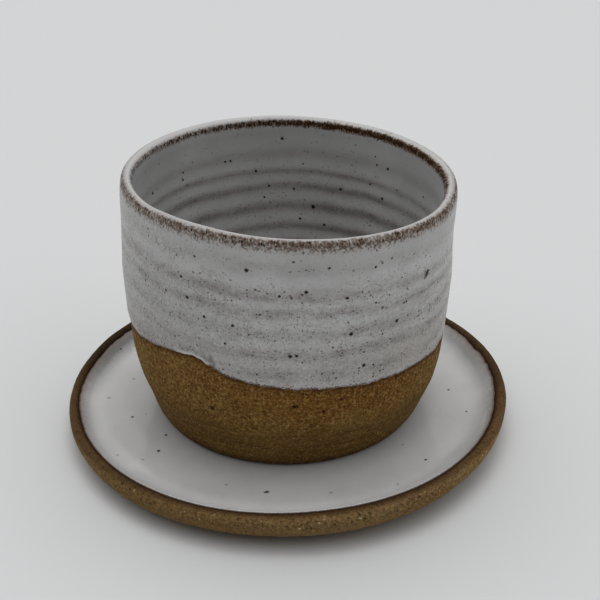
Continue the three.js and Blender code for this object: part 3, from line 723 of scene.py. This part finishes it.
    # the lip: pale crest between brown shoulders, where the coat has run thin
    # and the brown is drawn out into streaks across the lip
    ring = m.vector("SCALE", m.vector("NORMALIZE", m.vector("MULTIPLY", m.mm, (1.0, 1.0, 0.0))), scale=44.0)
    along = m.node("ShaderNodeCombineXYZ")
    m.put(along.inputs[2], m.math("MULTIPLY", lip, 0.75))
    across = m.vector("ADD", ring, along.outputs[0])
    clump = m.noise(0.5, 2, 0.5, vec=across)
    lick = m.math("MULTIPLY_ADD", m.noise(1.75, 3, 0.62, vec=across), 0.75, m.math("MULTIPLY", clump, 0.25))
    off = m.math("SUBTRACT", m.math("ABSOLUTE", lip), crown)
    # the pale crest: partly the glaze's own colour, partly a painted highlight along the top of the lip
    c = m.mix(m.map(off, -0.5, -1.4, 0.0, 0.8), c, m.mix(outer, rgb(0.66, 0.65, 0.635), rgb(0.53, 0.515, 0.50)))
    hard_out = m.math("MAXIMUM", m.map(off, -0.45, -1.8, 0.495, 0.74), m.map(off, 0.2, 2.5, 0.495, 0.67))
    hard_out = m.math("ADD", hard_out, m.map(off, 2.1, 4.0, 0.0, 0.5))
    hard_in = m.math("MAXIMUM", m.map(off, -0.3, -1.5, 0.40, 0.74), m.map(off, 0.2, 1.7, 0.40, 0.66))
    hard_in = m.math("ADD", hard_in, m.map(off, 1.3, 2.7, 0.0, 0.5))
    hard = m.math("MULTIPLY_ADD", m.math("SUBTRACT", hard_out, hard_in), outer, hard_in)
    hard = m.math("ADD", hard, m.math("MULTIPLY", m.math("SUBTRACT", 1.0, browned), 0.22))
    bare = m.math("SUBTRACT", lick, hard)
    tan = m.mix(outer, rgb(0.16, 0.080, 0.038), rgb(0.190, 0.122, 0.082))
    dark = m.mix(outer, rgb(0.045, 0.019, 0.0055), rgb(0.036, 0.0165, 0.0085))
    band = m.map(bare, -0.05, m.math("MULTIPLY_ADD", outer, 0.06, 0.11))
    veil = m.math("MAXIMUM", outer, m.map(browned, 0.55, 1.0, 0.5, 1.0))
    c = m.mix(m.math("MULTIPLY", m.map(bare, -0.20, 0.0, 0.0, 0.85), veil), c, tan)
    c = m.mix(band, c, dark)
    share = m.math("MULTIPLY", m.math("MULTIPLY", m.map(off, 2.4, 0.0), m.map(off, -1.2, -0.5, 0.05, 1.0)), browned)
    crumbs, tone = m.specks(1.5, m.math("MULTIPLY", share, 0.46), 0.20, 0.40, vec=m.vector("ADD", across, m.vector("SUBTRACT", warp, m.mm)), core=0.5)
    crumbs = m.math("MULTIPLY", crumbs, m.map(tone, 0, 1, 0.5, 1.0))
    c = m.mix(crumbs, c, rgb(0.030, 0.014, 0.008))
    m.put(m.bsdf.inputs["Base Color"], c)
    rough = m.map(soft, 0.3, 0.7, 0.30, 0.40)
    rough = m.math("ADD", rough, m.math("MULTIPLY", thin, 0.10))
    rough = m.math("ADD", rough, m.math("MULTIPLY", band, 0.25))
    m.put(m.bsdf.inputs["Roughness"], rough)
    m.bsdf.inputs["IOR"].default_value = 1.5
    m.bsdf.inputs["Specular IOR Level"].default_value = 0.08
    hole = m.math("MAXIMUM", spots, m.math("MULTIPLY", m.math("MAXIMUM", drops, grains), 0.5))
    h = m.math("SUBTRACT", m.math("MULTIPLY", fine, 0.5), m.math("MULTIPLY", hole, 0.7))
    h = m.math("ADD", h, m.math("MULTIPLY", mid, 0.8))
    h = m.math("SUBTRACT", h, m.math("MULTIPLY", crumbs, 0.5))
    m.put(m.bsdf.inputs["Normal"], m.bump(h, 0.00006))
    return m.mat


def saucer_glaze_material():
    m = Nodes("white_saucer_glaze")
    inside, thinned = m.attr("inside"), m.attr("thinned")
    soft = m.noise(0.07, 3, 0.5)
    mid = m.noise(0.5, 3, 0.6)
    fine = m.noise(2.4, 2, 0.6)
    warp = m.warped(1.6, 0.45)
    c = m.mix(m.map(soft, 0.35, 0.65), rgb(0.63, 0.632, 0.63), rgb(0.685, 0.688, 0.69))
    c = m.mix(m.map(fine, 0.55, 0.8, 0.0, 0.10), c, rgb(0.48, 0.475, 0.47))
    # greyer up the slope where the coat is thin and whiter where it has pooled, and with it painted light on the front
    # of the slope and painted shade at the back; then a narrow brown edge at the bare rim
    slope = m.math("ADD", inside, m.math("MULTIPLY", m.math("SUBTRACT", mid, 0.5), 2.2))
    change = m.math("MULTIPLY", m.map(slope, 9.0, 1.0), m.math("SUBTRACT", m.attr("pooled_light_and_shade"), 1.0))
    c = m.vector("SCALE", c, scale=m.math("ADD", change, 1.0))
    rim = m.math("ADD", inside, m.math("MULTIPLY", m.math("SUBTRACT", fine, 0.5), 0.7))
    haze = m.math("ADD", rim, m.math("MULTIPLY", m.math("SUBTRACT", mid, 0.5), 1.6))
    c = m.mix(m.math("MULTIPLY", m.map(haze, 2.4, 0.4), m.math("MULTIPLY", m.map(thinned, 0.4, 0.95), 0.6)), c, rgb(0.19, 0.125, 0.088))
    wide = m.math("MULTIPLY_ADD", thinned, 0.8, 0.1)
    c = m.mix(m.map(rim, wide, m.math("MULTIPLY", wide, 0.3), 0.0, 0.9), c, rgb(0.075, 0.038, 0.018))
    spots = m.marks(SAUCER_SPECKS, warp)
    faint = m.marks(SAUCER_FAINT, warp)
    sep = m.node("ShaderNodeSeparateXYZ")
    m.put(sep.inputs[0], m.mm)
    more, tone = m.specks(0.12, m.math("MULTIPLY", m.map(sep.outputs[1], 12.0, 20.0), 0.4), 0.28, 0.55)
    spots = m.math("MAXIMUM", spots, m.math("MULTIPLY", more, m.map(tone, 0, 1, 0.4, 1.0)))
    c = m.mix(m.math("MULTIPLY", faint, 0.5), c, rgb(0.20, 0.19, 0.18))
    c = m.mix(m.math("MULTIPLY", spots, 0.9), c, rgb(0.035, 0.03, 0.028))
    drops, tone = m.specks(0.5, 0.03, 0.15, 0.3, vec=warp)
    c = m.mix(m.math("MULTIPLY", drops, m.map(tone, 0, 1, 0.1, 0.45)), c, rgb(0.12, 0.11, 0.10))
    m.put(m.bsdf.inputs["Base Color"], c)
    rough = m.map(soft, 0.3, 0.7, 0.09, 0.15)
    rough = m.math("ADD", rough, m.map(rim, 1.0, 0.2, 0.0, 0.3))
    m.put(m.bsdf.inputs["Roughness"], rough)
    m.bsdf.inputs["IOR"].default_value = 1.5
    h = m.math("SUBTRACT", m.math("ADD", m.math("MULTIPLY", mid, 0.5), m.math("MULTIPLY", fine, 0.12)), m.math("MULTIPLY", spots, 0.8))
    m.put(m.bsdf.inputs["Normal"], m.bump(h, 0.00003))
    return m.mat


def grog(m, c, pale_share, dark_share, calm=None):
    """Sandy grains of the body: pale and dark grog, with their relief."""
    grain = m.noise(1.25, 3, 0.7)
    sand = m.noise(3.0, 2, 0.6)
    soft = 1.0 if calm is None else calm
    warp = m.warped(1.8, 0.5)
    c = m.mix(m.math("MULTIPLY", m.map(grain, 0.5, 0.64, 0.0, 0.85), soft), c, rgb(0.075, 0.040, 0.011))
    c = m.mix(m.math("MULTIPLY", m.map(grain, 0.48, 0.36, 0.0, 0.75), soft), c, rgb(0.39, 0.242, 0.084))
    c = m.mix(m.math("MULTIPLY", m.map(sand, 0.53, 0.72, 0.0, 0.45), soft), c, rgb(0.07, 0.038, 0.012))
    pale, tone = m.specks(1.45, m.math("MULTIPLY", pale_share, soft), 0.13, 0.30, vec=warp)
    c = m.mix(m.math("MULTIPLY", pale, m.map(tone, 0, 1, 0.2, 0.9)), c, rgb(0.46, 0.33, 0.15))
    dark, tone = m.specks(0.95, m.math("MULTIPLY", dark_share, soft), 0.17, 0.42, vec=m.vector("ADD", warp, (7.0, 3.0, 5.0)))
    c = m.mix(m.math("MULTIPLY", dark, m.map(tone, 0, 1, 0.3, 0.95)), c, rgb(0.032, 0.015, 0.005))
    h = m.math("ADD", m.math("MULTIPLY", grain, 0.8), m.math("MULTIPLY", sand, 0.35))
    h = m.math("ADD", h, m.math("MULTIPLY", pale, 0.35))
    h = m.math("SUBTRACT", h, m.math("MULTIPLY", dark, 0.6))
    return c, h, grain, warp


def cup_clay_material():
    m = Nodes("bare_stoneware_cup")
    below, flash, trimmed = m.attr("below"), m.attr("flash"), m.attr("trimmed")
    broad = m.noise(0.06, 3, 0.55)
    mid = m.noise(0.4, 4, 0.6)
    c = m.mix(m.map(broad, 0.35, 0.65), rgb(0.25, 0.148, 0.042), rgb(0.21, 0.110, 0.029))
    c = m.mix(m.math("MULTIPLY", flash, m.map(mid, 0.3, 0.6, 0.55, 0.95), clamp=True), c, rgb(0.236, 0.094, 0.0185))
    c = m.mix(m.map(mid, 0.42, 0.66, 0.0, 0.4), c, rgb(0.155, 0.083, 0.021))
    c = m.mix(m.math("MULTIPLY", trimmed, 0.35), c, rgb(0.13, 0.073, 0.019))
    smear = m.noise(0.5, 3, 0.6, vec=m.vector("MULTIPLY", m.mm, (0.14, 0.14, 1.7)))
    c = m.mix(m.math("MULTIPLY", m.map(smear, 0.45, 0.6, 0.0, 0.55), trimmed), c, rgb(0.090, 0.046, 0.0125))
    # rust under the glaze's edge, and painted shade darkening the foot
    rust = m.math("ADD", below, m.math("MULTIPLY", m.math("SUBTRACT", mid, 0.5), 5.0))
    c = m.mix(m.map(rust, 3.4, 0.4, 0.0, 0.55), c, rgb(0.15, 0.058, 0.014))
    place = m.node("ShaderNodeSeparateXYZ")
    m.put(place.inputs[0], m.mm)
    c = m.mix(m.map(m.math("ADD", place.outputs[2], m.math("MULTIPLY", mid, 2.0)), 10.5, 6.9, 0.0, 0.7), c, rgb(0.055, 0.029, 0.009))
    c, h, grain, warp = grog(m, c, 0.45, 0.5, m.map(trimmed, 0.0, 1.0, 1.0, 0.6))
    iron, tone = m.specks(0.13, 0.25, 0.32, 0.6, vec=m.vector("ADD", warp, (2.0, 9.0, 4.0)))
    sep = m.node("ShaderNodeSeparateXYZ")
    m.put(sep.inputs[0], m.mm)
    iron = m.math("MAXIMUM", m.math("MULTIPLY", iron, m.map(sep.outputs[1], -6.0, 4.0)), m.marks(CLAY_PITS, warp))
    c = m.mix(m.math("MULTIPLY", iron, 0.9), c, rgb(0.018, 0.009, 0.004))
    # thin dark line where the glaze ends
    line = m.map(m.math("ADD", below, m.math("MULTIPLY", m.math("SUBTRACT", grain, 0.5), 1.6)), 1.15, 0.45)
    c = m.mix(m.math("MULTIPLY", line, m.map(mid, 0.38, 0.6, 0.25, 0.75)), c, rgb(0.058, 0.026, 0.010))
    m.put(m.bsdf.inputs["Base Color"], c)
    m.put(m.bsdf.inputs["Roughness"], m.map(grain, 0.3, 0.7, 0.68, 0.9))
    m.bsdf.inputs["IOR"].default_value = 1.45
    m.bsdf.inputs["Specular IOR Level"].default_value = 0.06
    h = m.math("SUBTRACT", m.math("ADD", h, m.math("MULTIPLY", mid, 0.5)), m.math("MULTIPLY", iron, 0.8))
    m.put(m.bsdf.inputs["Normal"], m.bump(h, 0.00016))
    return m.mat


def saucer_clay_material():
    m = Nodes("bare_stoneware_saucer")
    m.mm = m.vector("ADD", m.mm, (31.0, 12.0, 53.0))
    away, worn, stained = m.attr("away"), m.attr("worn"), m.attr("stained")
    broad = m.noise(0.06, 3, 0.55)
    mid = m.noise(0.4, 4, 0.6)
    c = m.mix(m.map(broad, 0.35, 0.65), rgb(0.25, 0.160, 0.073), rgb(0.24, 0.145, 0.060))
    c = m.mix(m.map(mid, 0.42, 0.66, 0.0, 0.4), c, rgb(0.175, 0.105, 0.043))
    c, h, grain, warp = grog(m, c, m.math("MULTIPLY_ADD", worn, 0.45, 0.15), m.math("MULTIPLY_ADD", worn, 0.40, 0.2), m.math("MULTIPLY_ADD", worn, 0.5, 0.5))
    chips, tone = m.specks(0.8, m.math("MULTIPLY", worn, 0.6), 0.24, 0.5, vec=m.vector("ADD", warp, (4.0, 6.0, 2.0)))
    c = m.mix(m.math("MULTIPLY", chips, m.map(tone, 0, 1, 0.1, 0.95, smooth=False)), c, rgb(0.60, 0.47, 0.27))
    pits, tone = m.specks(0.75, m.math("MULTIPLY", worn, 0.4), 0.25, 0.5, vec=m.vector("ADD", warp, (9.0, 1.0, 6.0)))
    c = m.mix(m.math("MULTIPLY", pits, m.map(tone, 0, 1, 0.2, 0.9, smooth=False)), c, rgb(0.04, 0.02, 0.008))
    # the top of the rim is stained by the glaze beside it, nearly black at its edge
    near = m.math("ADD", away, m.math("MULTIPLY", m.math("SUBTRACT", mid, 0.5), 1.6))
    stain = m.math("SUBTRACT", near, stained)
    c = m.mix(m.map(stain, 1.1, -0.7, 0.0, 0.78), c, rgb(0.082, 0.044, 0.019))
    c = m.mix(m.map(near, 1.7, 0.4, 0.0, 0.75), c, rgb(0.056, 0.025, 0.011))
    c = m.mix(m.math("MULTIPLY", m.map(grain, 0.5, 0.66, 0.0, 0.55), m.map(stain, 0.6, -0.6)), c, rgb(0.030, 0.015, 0.007))
    c = m.mix(m.math("MULTIPLY", m.map(grain, 0.47, 0.36, 0.0, 0.4), m.map(stain, 0.6, -0.6)), c, rgb(0.15, 0.082, 0.036))
    line = m.map(m.math("ADD", away, m.math("MULTIPLY", m.math("SUBTRACT", grain, 0.5), 0.5)), 0.8, 0.2)
    c = m.mix(m.math("MULTIPLY", line, 0.8), c, rgb(0.028, 0.014, 0.008))
    # the tone by angle holds painted light and shade as well as the clay's own colour
    c = m.vector("SCALE", c, scale=m.attr("tone"))
    m.put(m.bsdf.inputs["Base Color"], c)
    m.put(m.bsdf.inputs["Roughness"], m.map(stain, -1.0, 1.5, 0.6, 0.85))
    m.bsdf.inputs["IOR"].default_value = 1.45
    m.bsdf.inputs["Specular IOR Level"].default_value = 0.04
    h = m.math("ADD", m.math("ADD", h, m.math("MULTIPLY", mid, 0.5)), m.math("MULTIPLY", chips, 0.5))
    m.put(m.bsdf.inputs["Normal"], m.bump(m.math("MULTIPLY", h, m.map(stain, -1.2, 0.6, 0.65, 1.0)), 0.00018))
    return m.mat


for obj, mat, body, node, slot in (
        (cup_body, cup_clay_material(), "cup", "cup_body", "stoneware"),
        (cup_glaze, glaze_material(), "cup", "cup_glaze", "white_glaze"),
        (saucer_body, saucer_clay_material(), "saucer", "saucer_body", "stoneware"),
        (saucer_glaze, saucer_glaze_material(), "saucer", "saucer_glaze", "white_glaze")):
    obj.data.materials.append(mat)
    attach(obj, body)
    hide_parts(node)


# --------------------------------------------------------------------- stage
def flat_material(name, color, roughness):
    mat = bpy.data.materials.new(name)
    mat.use_nodes = True
    b = mat.node_tree.nodes["Principled BSDF"]
    b.inputs["Base Color"].default_value = color
    b.inputs["Roughness"].default_value = roughness
    b.inputs["Specular IOR Level"].default_value = 0.1
    return mat


mesh = bpy.data.meshes.new("floor")
mesh.from_pydata([(-3, -3, 0), (3, -3, 0), (3, 3, 0), (-3, 3, 0)], [], [(0, 1, 2, 3)])
floor = bpy.data.objects.new("floor", mesh)
bpy.context.scene.collection.objects.link(floor)
mesh.materials.append(flat_material("pale_floor", rgb(0.80, 0.815, 0.82), 0.9))


# A soft studio dome: a broad pool of light high behind and weaker ones round
# the sides, (azimuth from the back towards +X, elevation, tightness, strength)
DOME = [(0, 66, 14, 2.34), (45, 66, 14, 0.76), (-45, 66, 14, 0.28), (135, 66, 14, 0.12), (-135, 66, 14, 0.53), (40, 42, 14, 0.31), (80, 42, 14, 0.44),
        (120, 42, 14, 0.95), (-120, 42, 14, 0.49), (-80, 42, 14, 0.65), (-40, 42, 14, 0.70), (60, 20, 18, 0.15)]
world = bpy.data.worlds.new("studio")
bpy.context.scene.world = world
world.use_nodes = True
tree = world.node_tree
bg = tree.nodes["Background"]
way = tree.nodes.new("ShaderNodeTexCoord").outputs["Generated"]
total = None
for az, el, tight, strength in DOME:
    az, el = math.radians(az), math.radians(el)
    dot = tree.nodes.new("ShaderNodeVectorMath")
    dot.operation = "DOT_PRODUCT"
    tree.links.new(way, dot.inputs[0])
    dot.inputs[1].default_value = (math.sin(az) * math.cos(el), math.cos(az) * math.cos(el), math.sin(el))
    fall = tree.nodes.new("ShaderNodeMath")
    fall.operation = "MULTIPLY_ADD"
    tree.links.new(dot.outputs["Value"], fall.inputs[0])
    fall.inputs[1].default_value, fall.inputs[2].default_value = tight, -tight
    pool = tree.nodes.new("ShaderNodeMath")
    pool.operation = "EXPONENT"
    tree.links.new(fall.outputs[0], pool.inputs[0])
    add = tree.nodes.new("ShaderNodeMath")
    add.operation = "MULTIPLY_ADD"
    tree.links.new(pool.outputs[0], add.inputs[0])
    add.inputs[1].default_value = strength
    add.inputs[2].default_value = 0.005
    if total is not None:
        tree.links.new(total, add.inputs[2])
    total = add.outputs[0]
tree.links.new(total, bg.inputs["Strength"])
bg.inputs["Color"].default_value = rgb(1.0, 1.0, 1.0)

# -------------------------------------------------------------------- camera
cam = bpy.data.cameras.new("camera")
cam.sensor_fit = "HORIZONTAL"
cam.sensor_width = 36.0
cam.lens = 1174.55 / 600 * 36.0
cam.clip_start = 0.01
camera = bpy.data.objects.new("camera", cam)
pitch, yaw = 0.4958, 0.0125
forward = Vector((math.sin(yaw) * math.cos(pitch), math.cos(yaw) * math.cos(pitch), -math.sin(pitch)))
right = Vector((math.cos(yaw), -math.sin(yaw), 0.0))
upward = right.cross(forward)
turn = Matrix((right, upward, -forward)).transposed()
camera.matrix_world = Matrix.Translation((0.0, -0.29370, 0.19475 + STAND * 0.001)) @ turn.to_4x4()
bpy.context.scene.collection.objects.link(camera)
bpy.context.scene.camera = camera

scene = bpy.context.scene
scene.view_settings.view_transform = "Standard"
scene.view_settings.look = "None"
scene.view_settings.exposure = 0.0
